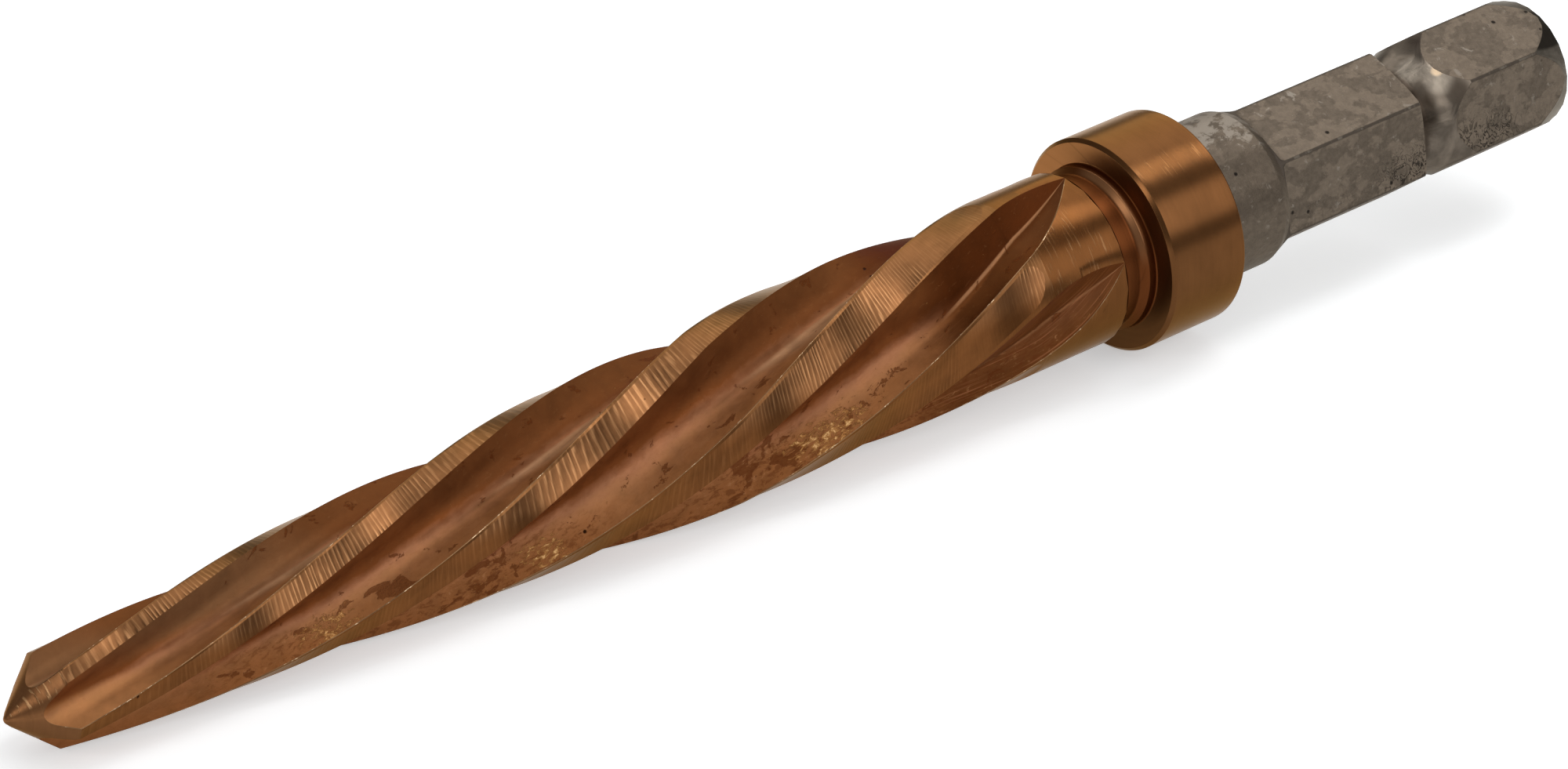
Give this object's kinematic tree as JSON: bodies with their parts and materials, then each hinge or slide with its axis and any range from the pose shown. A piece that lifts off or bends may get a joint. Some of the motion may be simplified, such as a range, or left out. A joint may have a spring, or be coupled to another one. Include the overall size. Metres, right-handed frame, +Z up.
{
  "type": "impact reamer",
  "caption": "Tapered left-hand spiral reamer for ramming bolt holes true, with a stop collar and a grooved hexagonal shank for an impact wrench.",
  "frame": {"origin": "middle of the footprint, on the surface that the tool lies on", "axes": "+Z up, +X along the lying tool from its point towards its hexagonal shank, +Y across it; the axis rises 2.7 degrees towards the shank"},
  "size_m": [0.1522, 0.018, 0.0184],
  "materials": {
    "tool_steel": "bronze-brown coated high-speed steel, shank bare brownish grey"
  },
  "bodies": {
    "root": {"impact_reamer": "tool_steel"}
  },
  "joints": []
}
